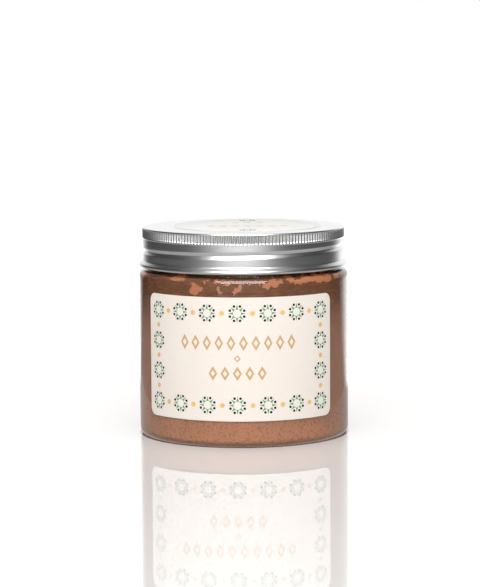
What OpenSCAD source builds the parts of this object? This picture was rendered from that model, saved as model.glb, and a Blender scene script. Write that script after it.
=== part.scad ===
// Drinking chocolate powder in a clear straight-sided jar with an aluminium screw lid.
// Millimetres. The jar stands on z = 0 with its axis on Z; the front, with the label, faces -Y.

/* [Jar] */
// Outside diameter of the straight body
body_d = 92; // [70:0.5:110]
// Height from the table to the sealing rim
jar_height = 90.9; // [75:0.1:120]
// Free height between the shoulder and the lid's rolled edge
shoulder_gap = 1.45; // [0.5:0.05:4]
// Wall of the body
wall = 0.9; // [0.6:0.1:2]
// Thickness of the base
base_t = 1.6; // [1:0.1:4]
// Rounding of the bottom edge
heel_r = 2.6; // [1.5:0.1:5]
// Rounding of the shoulder
shoulder_r = 2.4; // [1.5:0.1:3]
// Wall of the neck
neck_wall = 1.5; // [1:0.1:2.5]
// Free space between the thread groove of the lid and the neck
neck_clearance = 0.3; // [0.2:0.05:0.6]

/* [Powder] */
// Free height between the powder and the lid
headspace = 2.4; // [1:0.1:3.5]
// Gap between powder and wall
powder_clearance = 0.04; // [0.02:0.01:0.1]

/* [Lid] */
// How far the lid's plain wall lies inside the body's outside
lid_inset = 1.85; // [1:0.05:6]
// Height of the lid, curl included
lid_height = 17.35; // [15:0.05:22]
// Sheet thickness
lid_t = 0.3; // [0.2:0.05:0.6]
// Rounding of the top edge
lid_edge_r = 1.1; // [0.8:0.1:2]
// How far the rolled edge stands out of the plain wall
curl_rise = 1.7; // [1:0.05:3]
// Thickness of the rolled edge
curl_t = 2; // [1.4:0.1:3]
// Height over which the wall flares out to the curl
flare_height = 1.2; // [0.8:0.1:2]

/* [Knurl] */
// Number of ribs round the grip band
rib_count = 180; // [60:2:240]
// Height of the grip band
knurl_height = 3.4; // [2:0.1:6]
// How far the ribs stand out of the plain wall
rib_rise = 0.25; // [0.1:0.05:0.6]
// Depth of the notches between the ribs
rib_depth = 0.5; // [0.3:0.05:0.8]

/* [Thread groove] */
// Rise of the rolled thread in one turn
thread_pitch = 4.4; // [3:0.1:5.5]
// Depth of the groove in the wall
thread_depth = 0.9; // [0.5:0.1:1.2]
// Height of the groove from edge to edge
thread_width = 3; // [2:0.1:4]
// Height of the groove's floor
thread_floor = 0.8; // [0.4:0.1:1.5]
// Distance of the groove below the lid's top, at the right side
thread_drop = 8.2; // [7:0.1:12]

/* [Labels] */
// Width of the front label, measured round the jar
label_w = 91.8; // [40:0.1:140]
// Height of the front label's lower edge above the table
label_z = 11.4; // [5:0.1:20]
// Distance of the front label's upper edge below the shoulder
label_drop = 7.9; // [3:0.1:20]
// Corner rounding of the front label
label_corner = 3.6; // [1:0.1:8]
// Turn of the front label round the jar
label_turn = -3.5; // [-30:0.5:30]
// Thickness of the paper
paper_t = 0.12; // [0.08:0.01:0.3]
// Layer of glue under the paper
glue_t = 0.05; // [0.02:0.01:0.1]
// Diameter of the round lid label
sticker_d = 64.4; // [30:0.1:80]
// Sideways offset of the round lid label
sticker_shift = 1.9; // [-4:0.1:4]

/* [Hidden] */
body_r = body_d / 2;
lid_top = jar_height + lid_t;
shoulder_z = lid_top - lid_height - shoulder_gap;

lid_r = body_r - lid_inset;
lid_inner_r = lid_r - lid_t - thread_depth;
neck_r = lid_inner_r - neck_clearance;
neck_inner_r = neck_r - neck_wall;
powder_top = jar_height - headspace;

curl_r = lid_r + curl_rise - curl_t / 2;
curl_z = lid_top - lid_height + curl_t / 2;
flare_z = curl_z + curl_t / 2 + flare_height;
knurl_z = lid_top - lid_edge_r - knurl_height;
rib_r = lid_r + rib_rise;
band_r = rib_r - rib_depth;
sheet_r = band_r - lid_t / 3;
thread_z = lid_top - thread_drop;
thread_tilt = asin(thread_pitch / 4 / lid_r);

label_r = body_r + glue_t;
label_h = shoulder_z - label_drop - label_z;
label_angle = label_w / label_r * 180 / PI;

fine = 180;
curve = 48;
// overlap that keeps joined or cut shapes from only touching
eps = 0.01;

// Half section of a round block from low to high, with its two outer corners rounded
module rounded_section(r, low, high, low_round, high_round) {
  translate([0, low + low_round]) square([r, high - low - low_round - high_round]);
  translate([0, low]) square([r - low_round, high - low - high_round]);
  translate([0, high - high_round - eps]) square([r - high_round, high_round + eps]);
  translate([r - low_round, low + low_round]) circle(low_round, $fn = curve);
  translate([r - high_round, high - high_round]) circle(high_round, $fn = curve);
}

// The space inside the jar's body and neck, up to top, kept clear of the glass by gap
module inside(top, gap) {
  rotate_extrude($fn = fine)
    rounded_section(body_r - wall - gap, base_t + gap, shoulder_z - wall - gap,
                    heel_r - wall, shoulder_r - wall);
  translate([0, 0, base_t + heel_r])
    cylinder(r = neck_inner_r - gap, h = top - base_t - heel_r, $fn = fine);
}

module jar() {
  color([0.85, 0.88, 0.9, 0.4])
  difference() {
    union() {
      rotate_extrude($fn = fine)
        rounded_section(body_r, 0, shoulder_z, heel_r, shoulder_r);
      cylinder(r = neck_r, h = jar_height, $fn = fine);
    }
    inside(jar_height + 1, 0);
  }
}

module powder() {
  color([0.5, 0.33, 0.24]) inside(powder_top, powder_clearance);
}

// Half section of the lid: drawn sheet with a rounded top edge, a flare and a rolled edge
module lid_section() {
  difference() {
    union() {
      rounded_section(sheet_r, knurl_z, lid_top, eps, lid_edge_r);
      translate([0, flare_z]) square([lid_r, knurl_z - flare_z + eps]);
      polygon([[0, flare_z + eps], [lid_r, flare_z + eps], [lid_r + 0.2, flare_z - flare_height / 2],
               [curl_r, curl_z + curl_t / 2], [curl_r, curl_z], [0, curl_z]]);
    }
    square([lid_inner_r, lid_top - lid_t]);
    translate([0, knurl_z + lid_t]) square([sheet_r - lid_t, lid_top - lid_edge_r - knurl_z - lid_t]);
    square([lid_r - lid_t, flare_z - flare_height / 2]);
  }
  translate([curl_r, curl_z]) circle(curl_t / 2, $fn = curve);
}

// Star-shaped outline of the grip band
module rib_outline() {
  polygon([for (i = [0 : 2 * rib_count - 1])
    let (r = i % 2 == 0 ? rib_r : band_r, a = i * 180 / rib_count) [r * cos(a), r * sin(a)]]);
}

// Half a turn of the thread groove, rising from the left side across the front to the right
module half_thread() {
  half = thread_width / 2;
  floor_half = thread_floor / 2;
  rotate([0, -thread_tilt, 0])
    rotate([0, 0, 178])
      rotate_extrude(angle = 184, $fn = fine)
        translate([lid_r - thread_depth, 0])
          polygon([[0, -floor_half], [thread_depth + 1, -half - 1], [thread_depth + 1, half + 1],
                   [0, floor_half]]);
}

module lid() {
  color([0.78, 0.79, 0.8])
  difference() {
    union() {
      rotate_extrude($fn = fine) lid_section();
      translate([0, 0, knurl_z])
        difference() {
          linear_extrude(knurl_height) rib_outline();
          translate([0, 0, -1]) cylinder(r = sheet_r - lid_t / 2, h = knurl_height + 2, $fn = fine);
        }
    }
    translate([0, 0, thread_z - thread_pitch / 4]) half_thread();
    translate([0, 0, thread_z + thread_pitch / 4]) rotate([0, 0, 180]) half_thread();
  }
}

// What rounding takes off the label's upper right corner, seen along +X from outside
module corner_nib() {
  translate([body_r - 2, 0, 0])
    rotate([90, 0, 90])
      linear_extrude(4)
        difference() {
          translate([-label_corner, -label_corner]) square(label_corner + 1);
          translate([-label_corner, -label_corner]) circle(label_corner, $fn = curve);
        }
}

module front_label() {
  color([0.97, 0.94, 0.9])
  translate([0, 0, label_z + label_h / 2])
  rotate([0, 0, label_turn - 90])
  difference() {
    rotate([0, 0, -label_angle / 2])
      rotate_extrude(angle = label_angle, $fn = fine)
        translate([label_r, -label_h / 2]) square([paper_t, label_h]);
    for (flip = [0, 1], drop = [0, 1])
      mirror([0, flip, 0]) mirror([0, 0, drop])
        rotate([0, 0, label_angle / 2]) translate([0, 0, label_h / 2]) corner_nib();
  }
}

module lid_label() {
  color([0.93, 0.93, 0.93])
  translate([sticker_shift, 0, lid_top + glue_t]) cylinder(d = sticker_d, h = paper_t, $fn = fine);
}

jar();
powder();
lid();
front_label();
lid_label();
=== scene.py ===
"""Looks of a jar of drinking chocolate powder: clear jar, powder, knurled aluminium lid, printed labels."""

import math

import bpy
from mathutils import Matrix, Vector, noise


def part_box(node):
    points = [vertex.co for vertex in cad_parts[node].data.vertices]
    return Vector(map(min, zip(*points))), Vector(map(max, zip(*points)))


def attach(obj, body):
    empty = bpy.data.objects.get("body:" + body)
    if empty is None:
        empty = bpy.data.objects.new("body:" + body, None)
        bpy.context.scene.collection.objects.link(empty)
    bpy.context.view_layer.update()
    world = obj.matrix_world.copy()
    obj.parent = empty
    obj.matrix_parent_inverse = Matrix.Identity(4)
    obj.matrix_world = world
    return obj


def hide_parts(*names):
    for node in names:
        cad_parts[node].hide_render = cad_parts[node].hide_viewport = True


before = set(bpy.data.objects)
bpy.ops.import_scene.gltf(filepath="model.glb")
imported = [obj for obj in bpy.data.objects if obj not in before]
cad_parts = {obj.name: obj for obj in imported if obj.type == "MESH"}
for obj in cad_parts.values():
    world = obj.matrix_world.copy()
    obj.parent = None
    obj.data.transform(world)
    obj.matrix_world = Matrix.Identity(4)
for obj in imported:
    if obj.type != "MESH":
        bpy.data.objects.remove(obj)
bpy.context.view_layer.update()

MM = 0.001
TAU = 2 * math.pi

# ---------------------------------------------------------------- sizes
# Read from the frame's boxes. The written ones are the part's own sizes, which no box gives.
jar_low, jar_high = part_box("jar")
lid_low, lid_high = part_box("lid")
powder_low, powder_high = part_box("powder")
label_low, label_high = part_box("front_label")
sticker_low, sticker_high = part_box("lid_label")

BODY_R = (jar_high.x - jar_low.x) / 2
RIM_Z = jar_high.z
NECK_H = 18.5 * MM
SHOULDER_Z = RIM_Z - NECK_H
HEEL_ROUND = 2.6 * MM
SHOULDER_ROUND = 2.4 * MM
NECK_R = 42.65 * MM
NECK_INNER_R = 41.15 * MM
INNER_R = powder_high.x
WALL = BODY_R - INNER_R
BASE_T = powder_low.z

LID_TOP = lid_high.z
CURL_R = 1.0 * MM
CURL_OUT = (lid_high.x - lid_low.x) / 2
CURL_Z = lid_low.z + CURL_R
LID_R = 44.15 * MM
LID_SHEET = 0.3 * MM

LABEL_R = -label_low.y
LABEL_START = math.asin(label_low.x / LABEL_R)
LABEL_END = math.asin(label_high.x / LABEL_R)
PAPER_T = 0.12 * MM


# ---------------------------------------------------------------- mesh helpers
SHARP_EDGE = math.radians(50)


def add_object(name, verts, faces, material, smooth=True):
    mesh = bpy.data.meshes.new(name)
    mesh.from_pydata(verts, [], faces)
    mesh.validate()
    mesh.polygons.foreach_set("use_smooth", [smooth] * len(mesh.polygons))
    if smooth:
        mesh.set_sharp_from_angle(angle=SHARP_EDGE)
    mesh.materials.append(material)
    piece = bpy.data.objects.new(name, mesh)
    bpy.context.scene.collection.objects.link(piece)
    return piece


def lathe(name, rings, material):
    """Skins a list of rings. A ring is a list of points, and one point is a pole.

    The counts of two neighbouring rings are the same or in a whole ratio.
    """
    verts, faces, starts = [], [], []
    for points in rings:
        starts.append(len(verts))
        verts.extend(points)
    for below, above, a, b in zip(rings, rings[1:], starts, starts[1:]):
        m, n = len(below), len(above)
        if m == n:
            faces += [(a + i, a + (i + 1) % m, b + (i + 1) % m, b + i) for i in range(m)]
        elif m == 1:
            faces += [(a, b + (j + 1) % n, b + j) for j in range(n)]
        elif n == 1:
            faces += [(a + j, a + (j + 1) % m, b) for j in range(m)]
        elif m < n:
            k = n // m
            for i in range(m):
                fan = [b + (i * k + j) % n for j in range(k, -1, -1)]
                faces.append((a + i, a + (i + 1) % m, *fan))
        else:
            k = m // n
            for i in range(n):
                fan = [a + (i * k + j) % m for j in range(k + 1)]
                faces.append((*fan, b + (i + 1) % n, b + i))
    return add_object(name, verts, faces, material)


def ring(r, z, count, shape=None):
    """A ring of points about the jar's axis. shape(angle, r, z) may give another radius."""
    points = []
    for i in range(count):
        a = TAU * i / count
        q = shape(a, r, z) if shape else r
        points.append((q * math.cos(a), q * math.sin(a), z))
    return points


def arc(centre_r, centre_z, radius, start, end, steps):
    """Section points on an arc, angles in degrees from straight out, upwards positive."""
    angles = [math.radians(start + (end - start) * i / steps) for i in range(steps + 1)]
    return [(centre_r + radius * math.cos(a), centre_z + radius * math.sin(a)) for a in angles]


def line(p, q, steps):
    """Section points from p up to but without q."""
    return [(p[0] + (q[0] - p[0]) * i / steps, p[1] + (q[1] - p[1]) * i / steps) for i in range(steps)]


def on_jar(along, z, lift):
    """A point at a distance along the jar's round from the front, at a height, lifted off the body."""
    a = along / LABEL_R - math.pi / 2
    return ((LABEL_R + lift) * math.cos(a), (LABEL_R + lift) * math.sin(a), z)


def smoothstep(low, high, x):
    t = min(max((x - low) / (high - low), 0), 1)
    return t * t * (3 - 2 * t)


# ---------------------------------------------------------------- node helpers
def new_material(name):
    material = bpy.data.materials.new(name)
    material.use_nodes = True
    tree = material.node_tree
    return material, tree, tree.nodes["Principled BSDF"]


def math_node(tree, operation, a, b=None, c=None):
    node = tree.nodes.new("ShaderNodeMath")
    node.operation = operation
    for socket, value in zip(node.inputs, (a, b, c)):
        if value is None:
            continue
        if isinstance(value, bpy.types.NodeSocket):
            tree.links.new(value, socket)
        else:
            socket.default_value = value
    return node.outputs[0]


def step_node(tree, value, low, high, out_low=0, out_high=1):
    """A smooth step from out_low at low to out_high at high."""
    node = tree.nodes.new("ShaderNodeMapRange")
    node.interpolation_type = "SMOOTHSTEP"
    tree.links.new(value, node.inputs["Value"])
    node.inputs["From Min"].default_value = low
    node.inputs["From Max"].default_value = high
    node.inputs["To Min"].default_value = out_low
    node.inputs["To Max"].default_value = out_high
    return node.outputs[0]


def mix_colour(tree, factor, a, b, blend="MIX"):
    """Mixes colours, plain numbers or sockets."""
    node = tree.nodes.new("ShaderNodeMix")
    node.data_type = "RGBA"
    node.blend_type = blend
    sockets = [s for s in node.inputs if s.type == "RGBA"]
    for socket, value in ((node.inputs["Factor"], factor), (sockets[0], a), (sockets[1], b)):
        if isinstance(value, bpy.types.NodeSocket):
            tree.links.new(value, socket)
        elif isinstance(value, (int, float)):
            socket.default_value = value
        else:
            socket.default_value = (*value, 1)
    return next(s for s in node.outputs if s.type == "RGBA")


def noise_node(tree, scale, detail=3, roughness=0.5, finer=(1, 1, 1)):
    """Noise in object coordinates, about scale features per metre, times finer along each axis."""
    coords = tree.nodes.new("ShaderNodeTexCoord")
    mapping = tree.nodes.new("ShaderNodeMapping")
    mapping.inputs["Scale"].default_value = finer
    texture = tree.nodes.new("ShaderNodeTexNoise")
    texture.inputs["Scale"].default_value = scale
    texture.inputs["Detail"].default_value = detail
    texture.inputs["Roughness"].default_value = roughness
    tree.links.new(coords.outputs["Object"], mapping.inputs["Vector"])
    tree.links.new(mapping.outputs["Vector"], texture.inputs["Vector"])
    return texture.outputs["Fac"]


def bump(tree, shader, height, distance):
    node = tree.nodes.new("ShaderNodeBump")
    node.inputs["Distance"].default_value = distance
    tree.links.new(height, node.inputs["Height"])
    tree.links.new(node.outputs["Normal"], shader.inputs["Normal"])


# ---------------------------------------------------------------- materials
def clear_material():
    """The jar's clear wall, very slightly cloudy in places."""
    material, tree, shader = new_material("jar_clear")
    shader.inputs["Base Color"].default_value = (0.97, 0.975, 0.975, 1)
    shader.inputs["Transmission Weight"].default_value = 1
    shader.inputs["IOR"].default_value = 1.5
    # more than one surface's shine, because the wall's inner surface shines too
    shader.inputs["Specular IOR Level"].default_value = 1.0
    cloudy = step_node(tree, noise_node(tree, 60), 0.4, 0.75, 0.0, 0.03)
    tree.links.new(cloudy, shader.inputs["Roughness"])
    # light passes straight through to the powder
    path = tree.nodes.new("ShaderNodeLightPath")
    clear = tree.nodes.new("ShaderNodeBsdfTransparent")
    clear.inputs["Color"].default_value = (0.93, 0.935, 0.935, 1)
    mix = tree.nodes.new("ShaderNodeMixShader")
    tree.links.new(path.outputs["Is Shadow Ray"], mix.inputs["Fac"])
    tree.links.new(shader.outputs["BSDF"], mix.inputs[1])
    tree.links.new(clear.outputs["BSDF"], mix.inputs[2])
    tree.links.new(mix.outputs["Shader"], tree.nodes["Material Output"].inputs["Surface"])
    return material


POWDER_LOOSE = (0.47, 0.195, 0.096)
POWDER_BOTTOM_BAND = (0.405, 0.192, 0.103)
POWDER_PRESSED = (0.142, 0.066, 0.033)
POWDER_LIGHTER_BELOW = (0.36, 0.18, 0.108)
POWDER_GRAIN = (0.62, 0.33, 0.2)


def powder_material():
    """Powder against the wall: pressed and dark high up, lighter lower down and lightest at the bottom,
    loose in spots.

    The mesh carries how loose it is, and how far the lighter lower tones reach, as point attributes.
    """
    material, tree, shader = new_material("powder")
    spots = tree.nodes.new("ShaderNodeAttribute")
    spots.attribute_name = "loose"
    ragged = noise_node(tree, 1300, 3, 0.6)
    rough_edge = math_node(tree, "MULTIPLY_ADD", ragged, 0.6, -0.3)
    field = math_node(tree, "ADD", spots.outputs["Fac"], rough_edge)
    loose = step_node(tree, field, 0.46, 0.56)
    bottom_band = tree.nodes.new("ShaderNodeAttribute")
    bottom_band.attribute_name = "bottom_band"
    lighter_below = tree.nodes.new("ShaderNodeAttribute")
    lighter_below.attribute_name = "lighter_below"
    streaks = noise_node(tree, 260, 4, 0.65, (1, 1, 5))
    # the powder's colour turns lighter low on the wall
    base_tone = mix_colour(tree, lighter_below.outputs["Fac"], POWDER_PRESSED, POWDER_LIGHTER_BELOW)
    base_tone = mix_colour(tree, step_node(tree, streaks, 0.4, 0.75, 0.0, 0.3), base_tone, POWDER_LOOSE)
    mottle = noise_node(tree, 420, 5, 0.7)
    patchy = step_node(tree, mottle, 0.25, 0.5, 0.75, 1.0)
    low = math_node(tree, "MULTIPLY", bottom_band.outputs["Fac"], patchy)
    # and lightest in a band at the bottom
    colour = mix_colour(tree, low, base_tone, POWDER_BOTTOM_BAND)
    colour = mix_colour(tree, loose, colour, POWDER_LOOSE)
    grain = noise_node(tree, 2600, 2, 0.7)
    light_grain = step_node(tree, grain, 0.35, 0.7, 0.0, 0.3)
    colour = mix_colour(tree, light_grain, colour, POWDER_GRAIN, "SOFT_LIGHT")
    dark_grain = step_node(tree, noise_node(tree, 900, 3, 0.6), 0.5, 0.62, 0, 0.5)
    crumbs = math_node(tree, "MULTIPLY", bottom_band.outputs["Fac"], dark_grain)
    colour = mix_colour(tree, crumbs, colour, POWDER_PRESSED)
    tree.links.new(colour, shader.inputs["Base Color"])
    shader.inputs["Roughness"].default_value = 0.85
    shader.inputs["Specular IOR Level"].default_value = 0.1
    bump(tree, shader, grain, 0.12 * MM)
    return material


def metal_material():
    """Satin aluminium, faintly brushed round the axis."""
    material, tree, shader = new_material("lid_metal")
    shader.inputs["Metallic"].default_value = 1
    lines = noise_node(tree, 500, 4, 0.7, (0.15, 0.15, 12))
    tint = mix_colour(tree, step_node(tree, lines, 0.3, 0.7), (0.73, 0.73, 0.725), (0.775, 0.775, 0.77))
    tree.links.new(tint, shader.inputs["Base Color"])
    tree.links.new(step_node(tree, lines, 0.3, 0.7, 0.28, 0.32), shader.inputs["Roughness"])
    return material


def paper_material(name, light, dark):
    """Matt printing paper with a faint fibre."""
    material, tree, shader = new_material(name)
    fibre = noise_node(tree, 1400, 4, 0.7, (1, 1, 0.6))
    cloud = noise_node(tree, 60, 2, 0.5)
    colour = mix_colour(tree, step_node(tree, fibre, 0.3, 0.75), light, dark)
    colour = mix_colour(tree, step_node(tree, cloud, 0.4, 0.7, 0.0, 0.3), colour, dark)
    tree.links.new(colour, shader.inputs["Base Color"])
    shader.inputs["Roughness"].default_value = 0.7
    shader.inputs["Specular IOR Level"].default_value = 0.15
    bump(tree, shader, fibre, 0.02 * MM)
    return material


def ink_material(name, full, thin, roughness):
    """Printing ink, a little uneven."""
    material, tree, shader = new_material(name)
    spread = noise_node(tree, 1800, 3, 0.6)
    colour = mix_colour(tree, step_node(tree, spread, 0.35, 0.75), full, thin)
    tree.links.new(colour, shader.inputs["Base Color"])
    shader.inputs["Roughness"].default_value = roughness
    shader.inputs["Specular IOR Level"].default_value = 0.3
    return material


CLEAR = clear_material()
POWDER = powder_material()
METAL = metal_material()
LABEL_PAPER = paper_material("label_paper", (0.89, 0.826, 0.762), (0.868, 0.794, 0.724))
STICKER_PAPER = paper_material("sticker_paper", (0.955, 0.945, 0.915), (0.915, 0.905, 0.88))
INK_GREEN = ink_material("ink_green", (0.10, 0.36, 0.17), (0.16, 0.42, 0.23), 0.5)
INK_DARK = ink_material("ink_dark", (0.018, 0.01, 0.016), (0.03, 0.018, 0.026), 0.45)
INK_GOLD = ink_material("ink_gold", (0.80, 0.50, 0.17), (0.86, 0.58, 0.24), 0.4)
INK_BRONZE = ink_material("ink_bronze", (0.62, 0.38, 0.16), (0.70, 0.45, 0.21), 0.4)


# ---------------------------------------------------------------- jar
JAR_COUNT = 256
RIM_ROUND = 0.5 * MM
NECK_FILLET = 0.6 * MM
# rings set in from the rounded edges, so that the flat places shade as flat
HEEL_SET_IN = 6 * MM
BASE_SET_IN = 4 * MM
NECK_SET_IN = 2 * MM
WALL_SET_IN_LOW, WALL_SET_IN_HIGH = 1 * MM, 4 * MM


def jar_piece():
    """The clear body, from the middle of its underside round the outside and the neck to its floor."""
    heel, shoulder = HEEL_ROUND, SHOULDER_ROUND
    inner_heel, inner_shoulder = heel - WALL, shoulder - WALL
    section = [(BODY_R - heel - HEEL_SET_IN, 0)]
    section += arc(BODY_R - heel, heel, heel, -90, 0, 12)
    section += line((BODY_R, heel + WALL_SET_IN_LOW), (BODY_R, SHOULDER_Z - shoulder), 12)
    section += arc(BODY_R - shoulder, SHOULDER_Z - shoulder, shoulder, 0, 90, 24)
    section += arc(NECK_R + NECK_FILLET, SHOULDER_Z + NECK_FILLET, NECK_FILLET, 270, 180, 5)
    section += arc(NECK_R - RIM_ROUND, RIM_Z - RIM_ROUND, RIM_ROUND, 0, 90, 5)
    section += arc(NECK_INNER_R + RIM_ROUND, RIM_Z - RIM_ROUND, RIM_ROUND, 90, 180, 5)
    section += [(NECK_INNER_R, SHOULDER_Z + NECK_SET_IN), (NECK_INNER_R, SHOULDER_Z - WALL)]
    section += arc(INNER_R - inner_shoulder, SHOULDER_Z - WALL - inner_shoulder, inner_shoulder, 90, 0, 8)
    section += line((INNER_R, SHOULDER_Z - WALL_SET_IN_HIGH), (INNER_R, BASE_T + inner_heel), 12)
    section += arc(INNER_R - inner_heel, BASE_T + inner_heel, inner_heel, 0, -90, 8)
    section += [(INNER_R - inner_heel - BASE_SET_IN, BASE_T)]
    rings = [[(0, 0, 0)]] + [ring(r, z, JAR_COUNT) for r, z in section] + [[(0, 0, BASE_T)]]
    return lathe("jar_glass", rings, CLEAR)


# ---------------------------------------------------------------- powder
# Loose, lighter places in the pressed powder: turn from the front in degrees, depth below the
# shoulder, half length and half width in millimetres, and lean in degrees.
LOOSE_SPOTS = [
    # in front, after the photo
    (-38.5, 1.0, 4.4, 0.7, 0), (-28.0, 3.4, 1.8, 1.3, 70), (-27.0, 5.4, 2.7, 1.9, 5),
    (-24.5, 4.4, 1.5, 1.1, -50), (-21.5, 1.9, 0.6, 0.45, 0), (-19.3, 1.1, 0.5, 0.35, 0),
    (-15.0, 1.4, 1.1, 0.6, 0), (-13.2, 4.6, 1.9, 0.9, -60), (-8.5, 2.5, 1.6, 0.45, 0),
    (-3.4, 5.0, 2.4, 0.95, 48), (-1.6, 3.3, 0.8, 0.7, 0), (2.6, 2.3, 1.3, 0.35, 0),
    (8.0, 2.6, 0.55, 0.9, 0), (12.8, 2.9, 2.0, 1.5, 20), (17.0, 2.3, 3.8, 1.5, 4),
    (26.5, 1.3, 2.2, 0.8, 0), (32.5, 1.8, 3.4, 1.3, 6), (39.0, 1.5, 3.2, 1.2, 0),
    (46.0, 1.6, 3.4, 1.4, 0), (53.0, 1.8, 2.8, 1.5, 0), (62.0, 1.6, 2.4, 1.2, 0),
    # sides and back, invented
    (83, 2.6, 2.2, 1.6, 20), (97, 1.2, 3.8, 0.9, 0), (112, 4.0, 2.6, 1.4, 50),
    (118, 1.6, 2.4, 1.2, 0), (139, 1.2, 4.6, 0.8, 0), (151, 4.2, 1.4, 0.9, -30),
    (163, 2.2, 2.8, 1.5, 10), (178, 1.2, 3.6, 0.8, 0), (-73, 1.4, 2.6, 1.0, 0),
    (-88, 3.0, 1.6, 1.1, 30), (-97, 1.1, 3.8, 0.7, 0), (-112, 2.2, 2.8, 1.5, -15),
    (-131, 1.2, 3.4, 0.8, 0), (-143, 4.4, 2.4, 1.2, 60), (-158, 1.6, 2.8, 1.2, 0),
    (-171, 3.6, 1.2, 0.9, 0),
]
# no loose powder deeper than this, in millimetres, nor farther than this from a spot, in degrees
LOOSE_DEPTH = 14
SPOT_REACH = 12
NOT_LOOSE = -0.5


def ripple(x, y, seed):
    """Coarse and fine noise, for ragged outlines; x and y in millimetres."""
    coarse = noise.noise(Vector((x * 0.55, y * 0.55, seed)))
    return coarse + 0.5 * noise.noise(Vector((x * 1.5, y * 1.5, seed)))


def loose_field(a, z):
    """Over a half where the powder is loose, falling off round each spot; a is the turn from the front."""
    below = (SHOULDER_Z - z) / MM
    if below > LOOSE_DEPTH:
        return NOT_LOOSE
    along = a * INNER_R / MM
    shift_x, shift_y = 1.1 * ripple(along, below, 2), 0.9 * ripple(along, below, 7)
    best = NOT_LOOSE
    for turn, depth, half_l, half_w, lean in LOOSE_SPOTS:
        off = (math.degrees(a) - turn + 180) % 360 - 180
        if abs(off) > SPOT_REACH:
            continue
        x = math.radians(off) * INNER_R / MM + shift_x
        y = depth - below + shift_y
        c, d = math.cos(math.radians(lean)), math.sin(math.radians(lean))
        u, v = (x * c + y * d) / half_l, (y * c - x * d) / half_w
        best = max(best, 1 - 0.5 * math.hypot(u, v) ** 1.5)
    return best


# heights over which the lightest powder at the bottom and the lighter tone low on the wall end
BOTTOM_BAND_LOW, BOTTOM_BAND_HIGH = 12 * MM, 19 * MM
BOTTOM_BAND_SHARE = 0.95
LIGHTER_BELOW_LOW, LIGHTER_BELOW_HIGH = 44 * MM, 68 * MM


def bottom_band_field(a, z):
    """Lighter powder in the lowest part, with a wavy upper limit."""
    wave = noise.noise(Vector((math.sin(a) * 2, math.cos(a) * 2, 3)))
    return BOTTOM_BAND_SHARE * (1 - smoothstep(BOTTOM_BAND_LOW + 2 * MM * wave, BOTTOM_BAND_HIGH + 3 * MM * wave, z))


def lighter_below_field(z):
    """A lighter tone on the wall, fading out towards the top."""
    return 1 - smoothstep(LIGHTER_BELOW_LOW, LIGHTER_BELOW_HIGH, z)


POWDER_COUNT = 840
POWDER_REACH = 0.3 * MM
POWDER_RELIEF = 0.1 * MM
# the rings are closer together in this uppermost part of the body, where the loose spots are
FINE_PART = 11 * MM


def powder_piece():
    """Powder with a little relief. It reaches into the wall, so that no gap shows."""
    reach = POWDER_REACH
    r = INNER_R + reach
    heel, shoulder = HEEL_ROUND - WALL, SHOULDER_ROUND - WALL
    low, top = BASE_T - reach, SHOULDER_Z - WALL + reach
    section = [(r * f, low) for f in (0.25, 0.5, 0.75, 0.9)]
    section += arc(r - heel, low + heel, heel, -90, 0, 6)
    section += line((r, low + heel + 0.8 * MM), (r, top - FINE_PART), 44)
    section += line((r, top - FINE_PART), (r, top - shoulder), 36)
    section += arc(r - shoulder, top - shoulder, shoulder, 0, 90, 8)
    neck = NECK_INNER_R + reach
    section += [(neck, z) for z in (top, (top + powder_high.z) / 2, powder_high.z)]
    section += [(neck * 0.6, powder_high.z)]

    def uneven(a, radius, z):
        p = Vector((math.cos(a), math.sin(a), z / BODY_R)) * 14
        return radius + POWDER_RELIEF * (noise.noise(p) + 0.6 * noise.noise(p * 4))

    rings = [[(0, 0, low)]]
    rings += [ring(q, z, POWDER_COUNT, uneven) for q, z in section]
    rings += [[(0, 0, powder_high.z)]]
    piece = lathe("powder_fill", rings, POWDER)
    mesh = piece.data
    names = ("loose", "bottom_band", "lighter_below")
    loose, bottom_band, lighter_below = (mesh.attributes.new(name, "FLOAT", "POINT") for name in names)
    for vertex in mesh.vertices:
        x, y, z = vertex.co
        a = math.atan2(x, -y)
        loose.data[vertex.index].value = loose_field(a, z)
        bottom_band.data[vertex.index].value = bottom_band_field(a, z)
        lighter_below.data[vertex.index].value = lighter_below_field(z)
    return piece


# ---------------------------------------------------------------- lid
# The top edge, the ribs and the groove follow the photo here and differ a little from the part's.
LID_EDGE = 0.5 * MM
RIBS = 180
RIB_R = 44.4 * MM
RIB_DEPTH = 0.5 * MM
BAND_TOP = LID_TOP - LID_EDGE
BAND_H = 4.1 * MM
# the notches between the ribs end softly, and the plain wall begins a little below the band
NOTCH_TOP_FADE, NOTCH_LOW_FADE = 0.25 * MM, 0.5 * MM
BAND_TO_WALL = 0.3 * MM
THREAD_PITCH = 4.4 * MM
THREAD_RIGHT = LID_TOP - 8.2 * MM
THREAD_DEPTH = 0.82 * MM
THREAD_HALF = 1.6 * MM
# the groove starts behind the left side and runs out under the band, a little over a turn later
THREAD_START, THREAD_END = math.radians(-135), math.radians(275)
# how long, in radians, it takes to reach its full depth and to run out
THREAD_RUN_IN, THREAD_RUN_OUT = 0.8, 0.5
FLARE_H = 1.2 * MM
FLARE_ROUND = 0.9 * MM


def groove(a, z):
    """Depth of the rolled thread at an angle from +X and a height."""
    front = a + math.pi / 2
    front = (front + math.pi) % TAU - math.pi
    depth = 0
    for turn in (front, front + TAU):
        if THREAD_START <= turn <= THREAD_END:
            centre = THREAD_RIGHT + THREAD_PITCH * (turn - math.pi / 2) / TAU
            off = abs(z - centre) / THREAD_HALF
            if off < 1:
                run_in = smoothstep(THREAD_START, THREAD_START + THREAD_RUN_IN, turn)
                run_out = smoothstep(THREAD_END, THREAD_END - THREAD_RUN_OUT, turn)
                profile = math.cos(off * math.pi / 2) ** 2
                depth = max(depth, THREAD_DEPTH * (run_in * run_out) * profile)
    return depth


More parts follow.
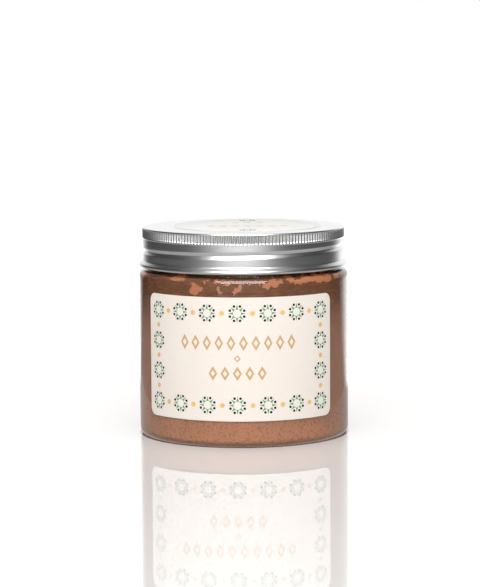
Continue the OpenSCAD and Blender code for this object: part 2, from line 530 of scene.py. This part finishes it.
def lid_piece():
    """The lid, from the middle of its top down the outside, round the rolled edge and back up inside."""
    coarse = 480
    # sixteen points to a rib
    fine = coarse * 6
    band_low = BAND_TOP - BAND_H

    def wall(a, r, z):
        return r - groove(a, z)

    def ribbed(a, r, z):
        upper_end = smoothstep(BAND_TOP, BAND_TOP - NOTCH_TOP_FADE, z)
        lower_end = smoothstep(band_low, band_low + NOTCH_LOW_FADE, z)
        notch = 1 - abs(math.cos(a * RIBS / 2))
        return r - RIB_DEPTH * (upper_end * lower_end) * notch

    edge_r = RIB_R - 0.05 * MM
    rings = [[(0, 0, LID_TOP)]]
    rings += [ring(edge_r * f, LID_TOP, coarse) for f in (0.3, 0.6, 0.85, 0.95)]
    edge = (edge_r - LID_EDGE, LID_TOP - LID_EDGE, LID_EDGE)
    rings += [ring(r, z, coarse) for r, z in arc(*edge, 90, 10, 8)]
    band = [band_low + BAND_H * t for t in (1, 0.98, 0.96, 0.93, 0.75, 0.5, 0.25, 0.14, 0.1, 0.06, 0.03, 0)]
    rings += [ring(RIB_R, z, fine, ribbed) for z in band]
    flare_top = CURL_Z + CURL_R + FLARE_H
    wall_top = band[-1] - BAND_TO_WALL
    rings += [ring(r, z, coarse, wall) for r, z in line((LID_R, wall_top), (LID_R, flare_top), 44)]
    centre = CURL_OUT - CURL_R
    rings += [ring(r, z, coarse) for r, z in arc(LID_R + FLARE_ROUND, flare_top, FLARE_ROUND, 180, 222, 4)]
    rings += [ring(r, z, coarse) for r, z in arc(centre, CURL_Z, CURL_R, 48, -200, 18)]
    inner = LID_R - THREAD_DEPTH - LID_SHEET
    ceiling = LID_TOP - LID_SHEET
    rings += [ring(inner, flare_top, coarse), ring(inner, ceiling, coarse), [(0, 0, ceiling)]]
    return lathe("lid_shell", rings, METAL)


# ---------------------------------------------------------------- labels
LABEL_CORNER = 3.6 * MM
LABEL_MID = (LABEL_START + LABEL_END) / 2 * LABEL_R
LABEL_W = (LABEL_END - LABEL_START) * LABEL_R
LABEL_H = label_high.z - label_low.z
LABEL_Z = (label_low.z + label_high.z) / 2


def label_piece():
    """Paper wrapped round the body, in columns cut back at the rounded corners."""
    corner = [LABEL_W / 2 - LABEL_CORNER * (1 - math.sin(math.radians(t))) for t in range(0, 91, 9)]
    middle = [LABEL_W * (i / 60 - 0.5) for i in range(4, 57)]
    columns = sorted([-x for x in corner] + middle + corner)
    rows = 24
    verts, faces = [], []
    for lift in (0, -PAPER_T):
        for x in columns:
            cut = max(0, abs(x) - (LABEL_W / 2 - LABEL_CORNER))
            half = LABEL_H / 2 - LABEL_CORNER + math.sqrt(max(0, LABEL_CORNER ** 2 - cut ** 2))
            for j in range(rows + 1):
                verts.append(on_jar(LABEL_MID + x, LABEL_Z + half * (2 * j / rows - 1), lift))
    n, side = rows + 1, len(columns) * (rows + 1)
    for i in range(len(columns) - 1):
        for j in range(rows):
            a = i * n + j
            faces.append((a, a + n, a + n + 1, a + 1))
            faces.append((side + a, side + a + 1, side + a + n + 1, side + a + n))
        for j, flip in ((0, False), (rows, True)):
            a, b = i * n + j, (i + 1) * n + j
            quad = (a, side + a, side + b, b)
            faces.append(quad[::-1] if flip else quad)
    for i, flip in ((0, True), (len(columns) - 1, False)):
        for j in range(rows):
            a = i * n + j
            quad = (a, side + a, side + a + 1, a + 1)
            faces.append(quad[::-1] if flip else quad)
    return add_object("label_paper_sheet", verts, faces, LABEL_PAPER)


# ink lies from just under its paper's face to just over it
INK_FACES = (0.012 * MM, -0.01 * MM)


class Print:
    """Flat shapes of one ink, joined into one thin piece. place(x, y, lift) puts a point on its paper."""

    def __init__(self, name, material):
        self.name, self.material = name, material
        self.verts, self.faces = [], []

    def shape(self, outline, place):
        start, n = len(self.verts), len(outline)
        for lift in INK_FACES:
            self.verts += [place(x, y, lift) for x, y in outline]
        self.faces.append(tuple(range(start, start + n)))
        self.faces.append(tuple(range(start + 2 * n - 1, start + n - 1, -1)))
        for i in range(n):
            j = (i + 1) % n
            self.faces.append((start + i, start + n + i, start + n + j, start + j))

    def border(self, outer, inner, place):
        """A closed band between two outlines of as many points."""
        for i in range(len(outer)):
            j = (i + 1) % len(outer)
            self.shape([outer[i], outer[j], inner[j], inner[i]], place)

    def piece(self):
        return add_object(self.name, self.verts, self.faces, self.material, smooth=False)


def circle(x, y, r, count):
    return [(x + r * math.cos(TAU * i / count), y + r * math.sin(TAU * i / count)) for i in range(count)]


def lozenge(x, y, half_w, half_h):
    return [(x + half_w, y), (x, y + half_h), (x - half_w, y), (x, y - half_h)]


green, dark = Print("print_green", INK_GREEN), Print("print_dark", INK_DARK)
gold, bronze = Print("print_gold", INK_GOLD), Print("print_bronze", INK_BRONZE)


PETALS = 8
# outline of the petal that points to the right, in millimetres from the rosette's middle
PETAL = [(1.62, -0.67), (2.4, -0.36), (3.9, 0), (2.4, 0.36), (1.62, 0.67), (1.78, 0)]
DOT_FROM_MIDDLE = 3.3 * MM
DOT_R = 0.58 * MM
BORDER_PITCH = 13.15 * MM
BORDER_DOT_R = 1.05 * MM
LOZENGE_PITCH = 5.3 * MM
LOZENGE_HALF_W = 1.9 * MM
LOZENGE_HOLE_HALF_W = 1.0 * MM


def rosette(x, y, place):
    """Petals round a bare centre, with a dot between each two."""
    for i in range(PETALS):
        a = TAU * i / PETALS
        turned = [(u * math.cos(a) - v * math.sin(a), u * math.sin(a) + v * math.cos(a)) for u, v in PETAL]
        green.shape([(x + u * MM, y + v * MM) for u, v in turned], place)
        b = a + TAU / (2 * PETALS)
        dot_x, dot_y = x + DOT_FROM_MIDDLE * math.cos(b), y + DOT_FROM_MIDDLE * math.sin(b)
        dark.shape(circle(dot_x, dot_y, DOT_R, 12), place)


def lozenge_row(ink, count, y, half_h, hole_half_h, place):
    """A row of open lozenges, centred on its paper."""
    for i in range(count):
        x = (i - (count - 1) / 2) * LOZENGE_PITCH
        outer = lozenge(x, y, LOZENGE_HALF_W, half_h)
        inner = lozenge(x, y, LOZENGE_HOLE_HALF_W, hole_half_h)
        ink.border(outer, inner, place)


def on_label(x, y, lift):
    return on_jar(LABEL_MID + x, LABEL_Z + y, lift)


def front_print():
    """A border of rosettes and dots by turns, and a plain ornament of lozenges in the middle."""
    half = BORDER_PITCH / 2
    for i in range(-6, 7):
        for side in (-1, 1):
            if i % 2 == 0:
                rosette(i * half, side * 3 * half, on_label)
            else:
                gold.shape(circle(i * half, side * 3 * half, BORDER_DOT_R, 20), on_label)
    for side in (-1, 1):
        for j in range(-2, 3):
            if j % 2:
                rosette(side * 6 * half, j * half, on_label)
            else:
                gold.shape(circle(side * 6 * half, j * half, BORDER_DOT_R, 20), on_label)
    lozenge_row(bronze, 10, 7.0 * MM, 3.3 * MM, 1.6 * MM, on_label)
    lozenge_row(bronze, 5, -6.0 * MM, 3.1 * MM, 1.4 * MM, on_label)
    bronze.shape(lozenge(0, 0.4 * MM, 1.5 * MM, 1.5 * MM), on_label)


def lid_label_piece():
    """The round label on the lid, with two rosettes and two rows of lozenges."""
    r = (sticker_high.x - sticker_low.x) / 2
    top = sticker_high.z
    middle = Vector(((sticker_high.x + sticker_low.x) / 2, 0, 0))
    section = [(r * 0.5, top), (r - 0.05 * MM, top), (r, top - 0.04 * MM)]
    section += [(r, sticker_low.z), (r * 0.5, sticker_low.z)]
    rings = [[(0, 0, top)]] + [ring(q, z, 192) for q, z in section] + [[(0, 0, sticker_low.z)]]
    piece = lathe("sticker_sheet", rings, STICKER_PAPER)
    piece.data.transform(Matrix.Translation(middle))
    # the section runs from the top down, which turns the skin inside out
    piece.data.flip_normals()

    def on_sticker(x, y, lift):
        return (middle.x + x, y, top + lift)

    for y in (-25 * MM, 25 * MM):
        rosette(0, y, on_sticker)
    for count, y in ((7, -4 * MM), (3, 15 * MM)):
        lozenge_row(gold, count, y, 3.2 * MM, 1.6 * MM, on_sticker)
    return piece


# ---------------------------------------------------------------- build and attach
front_print()
stands_for = {
    "jar": (jar_piece(), "jar_clear"),
    "powder": (powder_piece(), "powder"),
    "lid": (lid_piece(), "lid_metal"),
    "front_label": (label_piece(), "label_paper"),
    "lid_label": (lid_label_piece(), "sticker_paper"),
}
for node, (piece, slot) in stands_for.items():
    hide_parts(node)
    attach(piece, "root")
for ink in (green, dark, gold, bronze):
    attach(ink.piece(), "root")

# ---------------------------------------------------------------- studio
# To the camera the floor is plain and pale and the backdrop white. Mirrored rays see more of a studio,
# by place and direction: lit in front, dark at both sides, white behind, with a lighter card on the floor
# in front of the jar. Lengths are metres, heights of a direction run from 0 at the horizon to 1 overhead.
STUDIO_TURN = math.radians(-8)
FRONT_GLOW, SIDE_GLOW, BACK_GLOW = 0.62, 0.03, 1.25
FRONT_FADE = (math.radians(0), math.radians(62))
BACK_FADE = (math.radians(130), math.radians(156))
# the room dims upwards to a share of its light, and a faint ceiling takes over
DIM_HEIGHTS = (0.3, 0.75)
DIM_SHARE = 0.12
CEILING_HEIGHTS = (0.8, 0.97)
CEILING_GLOWS = (0.02, 0.3)
MATT_GLOW = 0.5

# the board that the jar stands on, as mirrored rays see it
BOARD_HALF = 125 * MM
BOARD_FRONT = -0.3
BOARD_SOFT = 4 * MM
BOARD_GLOW = 0.62
CARD_X = (-0.31, 0.25)
CARD_Y = (-0.66, -0.3)
CARD_SOFT = 10 * MM
CARD_GLOW = 0.55
BEHIND_FROM = (0.12, 0.18)
BEHIND_GLOW = 1.9
# the rest of the floor dims outwards, and past the last distance the room begins
FLOOR_DIMS = (0.25, 0.68)
FLOOR_GLOWS = (0.36, 0.02)
ROOM_FROM = (0.70, 0.73)

# the floor's own colour, the darker place under the jar, and the faint light that keeps it white
FLOOR = (0.80, 0.775, 0.76)
FLOOR_IN_SHADE = (0.09, 0.07, 0.062)
SHADE_SOFT = 0.6 * MM
LIFT_FROM = (0.1, 0.8)
LIFT_GLOWS = (0.1, 0.35)
FLOOR_HALF = 4.0
FLOOR_DROP = 0.05 * MM


def turn_from_front(tree, x, y):
    """Angle from the studio's front, the same to both sides."""
    turn = math_node(tree, "ARCTAN2", x, math_node(tree, "MULTIPLY", y, -1))
    return math_node(tree, "ABSOLUTE", math_node(tree, "SUBTRACT", turn, STUDIO_TURN))


def room_light(tree, turn):
    """How bright the room looks to mirrored rays at an angle from its front."""
    front = step_node(tree, turn, *FRONT_FADE, FRONT_GLOW, SIDE_GLOW)
    return math_node(tree, "MAXIMUM", front, step_node(tree, turn, *BACK_FADE, 0, BACK_GLOW))


def between(tree, value, span, soft):
    """One inside a span, falling to nothing over a soft edge on both sides."""
    rise = step_node(tree, value, span[0] - soft, span[0] + soft)
    return math_node(tree, "MULTIPLY", rise, step_node(tree, value, span[1] - soft, span[1] + soft, 1, 0))


def make_world():
    """White to the camera, even light on matt surfaces, and the room to mirrored rays."""
    world = bpy.data.worlds.new("studio")
    bpy.context.scene.world = world
    world.use_nodes = True
    tree = world.node_tree
    coords = tree.nodes.new("ShaderNodeTexCoord")
    split = tree.nodes.new("ShaderNodeSeparateXYZ")
    tree.links.new(coords.outputs["Generated"], split.inputs[0])
    x, y, z = split.outputs
    room = room_light(tree, turn_from_front(tree, x, y))
    mirrored = math_node(tree, "MULTIPLY", room, step_node(tree, z, *DIM_HEIGHTS, 1, DIM_SHARE))
    ceiling = step_node(tree, z, *CEILING_HEIGHTS, *CEILING_GLOWS)
    mirrored = math_node(tree, "MAXIMUM", mirrored, ceiling)
    path = tree.nodes.new("ShaderNodeLightPath")
    glossy = path.outputs["Is Glossy Ray"]
    level = math_node(tree, "MULTIPLY", mirrored, glossy)
    matt = math_node(tree, "MULTIPLY", math_node(tree, "SUBTRACT", 1, glossy), MATT_GLOW)
    level = math_node(tree, "ADD", level, matt)
    seen = math_node(tree, "MAXIMUM", level, path.outputs["Is Camera Ray"])
    tree.links.new(seen, tree.nodes["Background"].inputs["Strength"])
    tree.nodes["Background"].inputs["Color"].default_value = (1, 1, 1, 1)


def make_floor():
    """A pale, glossy floor. Mirrored rays see a board, a card and a backdrop glow on it instead."""
    material, tree, shader = new_material("floor")
    shader.inputs["Roughness"].default_value = 0.02
    shader.inputs["IOR"].default_value = 1.5
    place = tree.nodes.new("ShaderNodeNewGeometry")
    split = tree.nodes.new("ShaderNodeSeparateXYZ")
    tree.links.new(place.outputs["Position"], split.inputs[0])
    x, y, _ = split.outputs
    turn = turn_from_front(tree, x, y)
    board = math_node(tree, "MULTIPLY", between(tree, x, (-BOARD_HALF, BOARD_HALF), BOARD_SOFT),
                      step_node(tree, y, BOARD_FRONT - BOARD_SOFT, BOARD_FRONT + BOARD_SOFT))
    card = math_node(tree, "MULTIPLY", between(tree, x, CARD_X, CARD_SOFT),
                     between(tree, y, CARD_Y, CARD_SOFT))
    length = tree.nodes.new("ShaderNodeVectorMath")
    length.operation = "LENGTH"
    tree.links.new(place.outputs["Position"], length.inputs[0])
    away = length.outputs["Value"]
    backdrop = step_node(tree, turn, *BACK_FADE)
    behind = math_node(tree, "MULTIPLY", backdrop, step_node(tree, away, *BEHIND_FROM))
    mirrored = step_node(tree, away, *FLOOR_DIMS, *FLOOR_GLOWS)
    for mask, radiance in ((board, BOARD_GLOW), (card, CARD_GLOW), (behind, BEHIND_GLOW)):
        mirrored = math_node(tree, "MAXIMUM", mirrored, math_node(tree, "MULTIPLY", mask, radiance))
    room = room_light(tree, turn)
    far = step_node(tree, away, *ROOM_FROM)
    mirrored = mix_colour(tree, far, mirrored, room)
    path = tree.nodes.new("ShaderNodeLightPath")
    shade = tree.nodes.new("ShaderNodeEmission")
    tree.links.new(mirrored, shade.inputs["Strength"])
    mix = tree.nodes.new("ShaderNodeMixShader")
    tree.links.new(path.outputs["Is Glossy Ray"], mix.inputs["Fac"])
    tree.links.new(shader.outputs["BSDF"], mix.inputs[1])
    tree.links.new(shade.outputs["Emission"], mix.inputs[2])
    tree.links.new(mix.outputs["Shader"], tree.nodes["Material Output"].inputs["Surface"])
    shader.inputs["Emission Color"].default_value = (1, 1, 1, 1)
    lift = step_node(tree, away, *LIFT_FROM, *LIFT_GLOWS)
    under = step_node(tree, away, BODY_R - SHADE_SOFT, BODY_R + SHADE_SOFT)
    tree.links.new(mix_colour(tree, under, FLOOR_IN_SHADE, FLOOR), shader.inputs["Base Color"])
    tree.links.new(math_node(tree, "MULTIPLY", lift, under), shader.inputs["Emission Strength"])
    half = FLOOR_HALF
    corners = [(-half, -half, 0), (half, -half, 0), (half, half, 0), (-half, half, 0)]
    floor = add_object("floor", corners, [(0, 1, 2, 3)], material, smooth=False)
    floor.location.z = -FLOOR_DROP


def softbox(name, turn, elevation, distance, width, height, radiance):
    """A rectangular light aimed at the middle of the jar, in degrees and metres.

    radiance is how bright its face looks.
    """
    light = bpy.data.lights.new(name, "AREA")
    light.shape = "RECTANGLE"
    light.size, light.size_y = width, height
    light.energy = radiance * math.pi * width * height
    lamp = bpy.data.objects.new(name, light)
    a, e = math.radians(turn), math.radians(elevation)
    away = Vector((math.sin(a) * math.cos(e), -math.cos(a) * math.cos(e), math.sin(e)))
    target = Vector((0, 0, RIM_Z / 2))
    lamp.location = target + away * distance
    lamp.rotation_euler = away.to_track_quat("Z", "Y").to_euler()
    lamp.visible_camera = False
    bpy.context.scene.collection.objects.link(lamp)
    return lamp


# fitted to the jar's outline in the photo: metres and degrees, and the lens in millimetres
CAMERA_DISTANCE = 1.113
CAMERA_HEIGHT = 0.185
CAMERA_PITCH = 6.35
CAMERA_YAW = 0.08
CAMERA_ROLL = 0.37
CAMERA_LENS = 155.6
CAMERA_SEES = (0.05, 20)


def make_camera():
    camera = bpy.data.cameras.new("camera")
    camera.lens = CAMERA_LENS
    camera.clip_start, camera.clip_end = CAMERA_SEES
    holder = bpy.data.objects.new("camera", camera)
    turn = Matrix.Rotation(math.radians(CAMERA_YAW), 3, "Z")
    tilt = Matrix.Rotation(math.radians(90 - CAMERA_PITCH), 3, "X")
    roll = Matrix.Rotation(math.radians(-CAMERA_ROLL), 3, "Z")
    holder.rotation_euler = (turn @ tilt @ roll).to_euler()
    holder.location = (0, -CAMERA_DISTANCE, CAMERA_HEIGHT)
    bpy.context.scene.collection.objects.link(holder)
    bpy.context.scene.camera = holder


make_world()
make_floor()
# the main light, once for matt surfaces and once, a little nearer, for shiny ones
key = softbox("key", turn=-2, elevation=39, distance=1.25, width=1.05, height=1.05, radiance=2.65)
key.visible_glossy = False
shine = softbox("shine", turn=-2, elevation=39, distance=1.15, width=0.97, height=1.2, radiance=8.2)
shine.visible_diffuse = False
top_light = softbox("top", turn=0, elevation=86, distance=1.5, width=1.0, height=1.0, radiance=1.2)
top_light.visible_glossy = False
make_camera()
bpy.context.scene.view_settings.view_transform = "Standard"
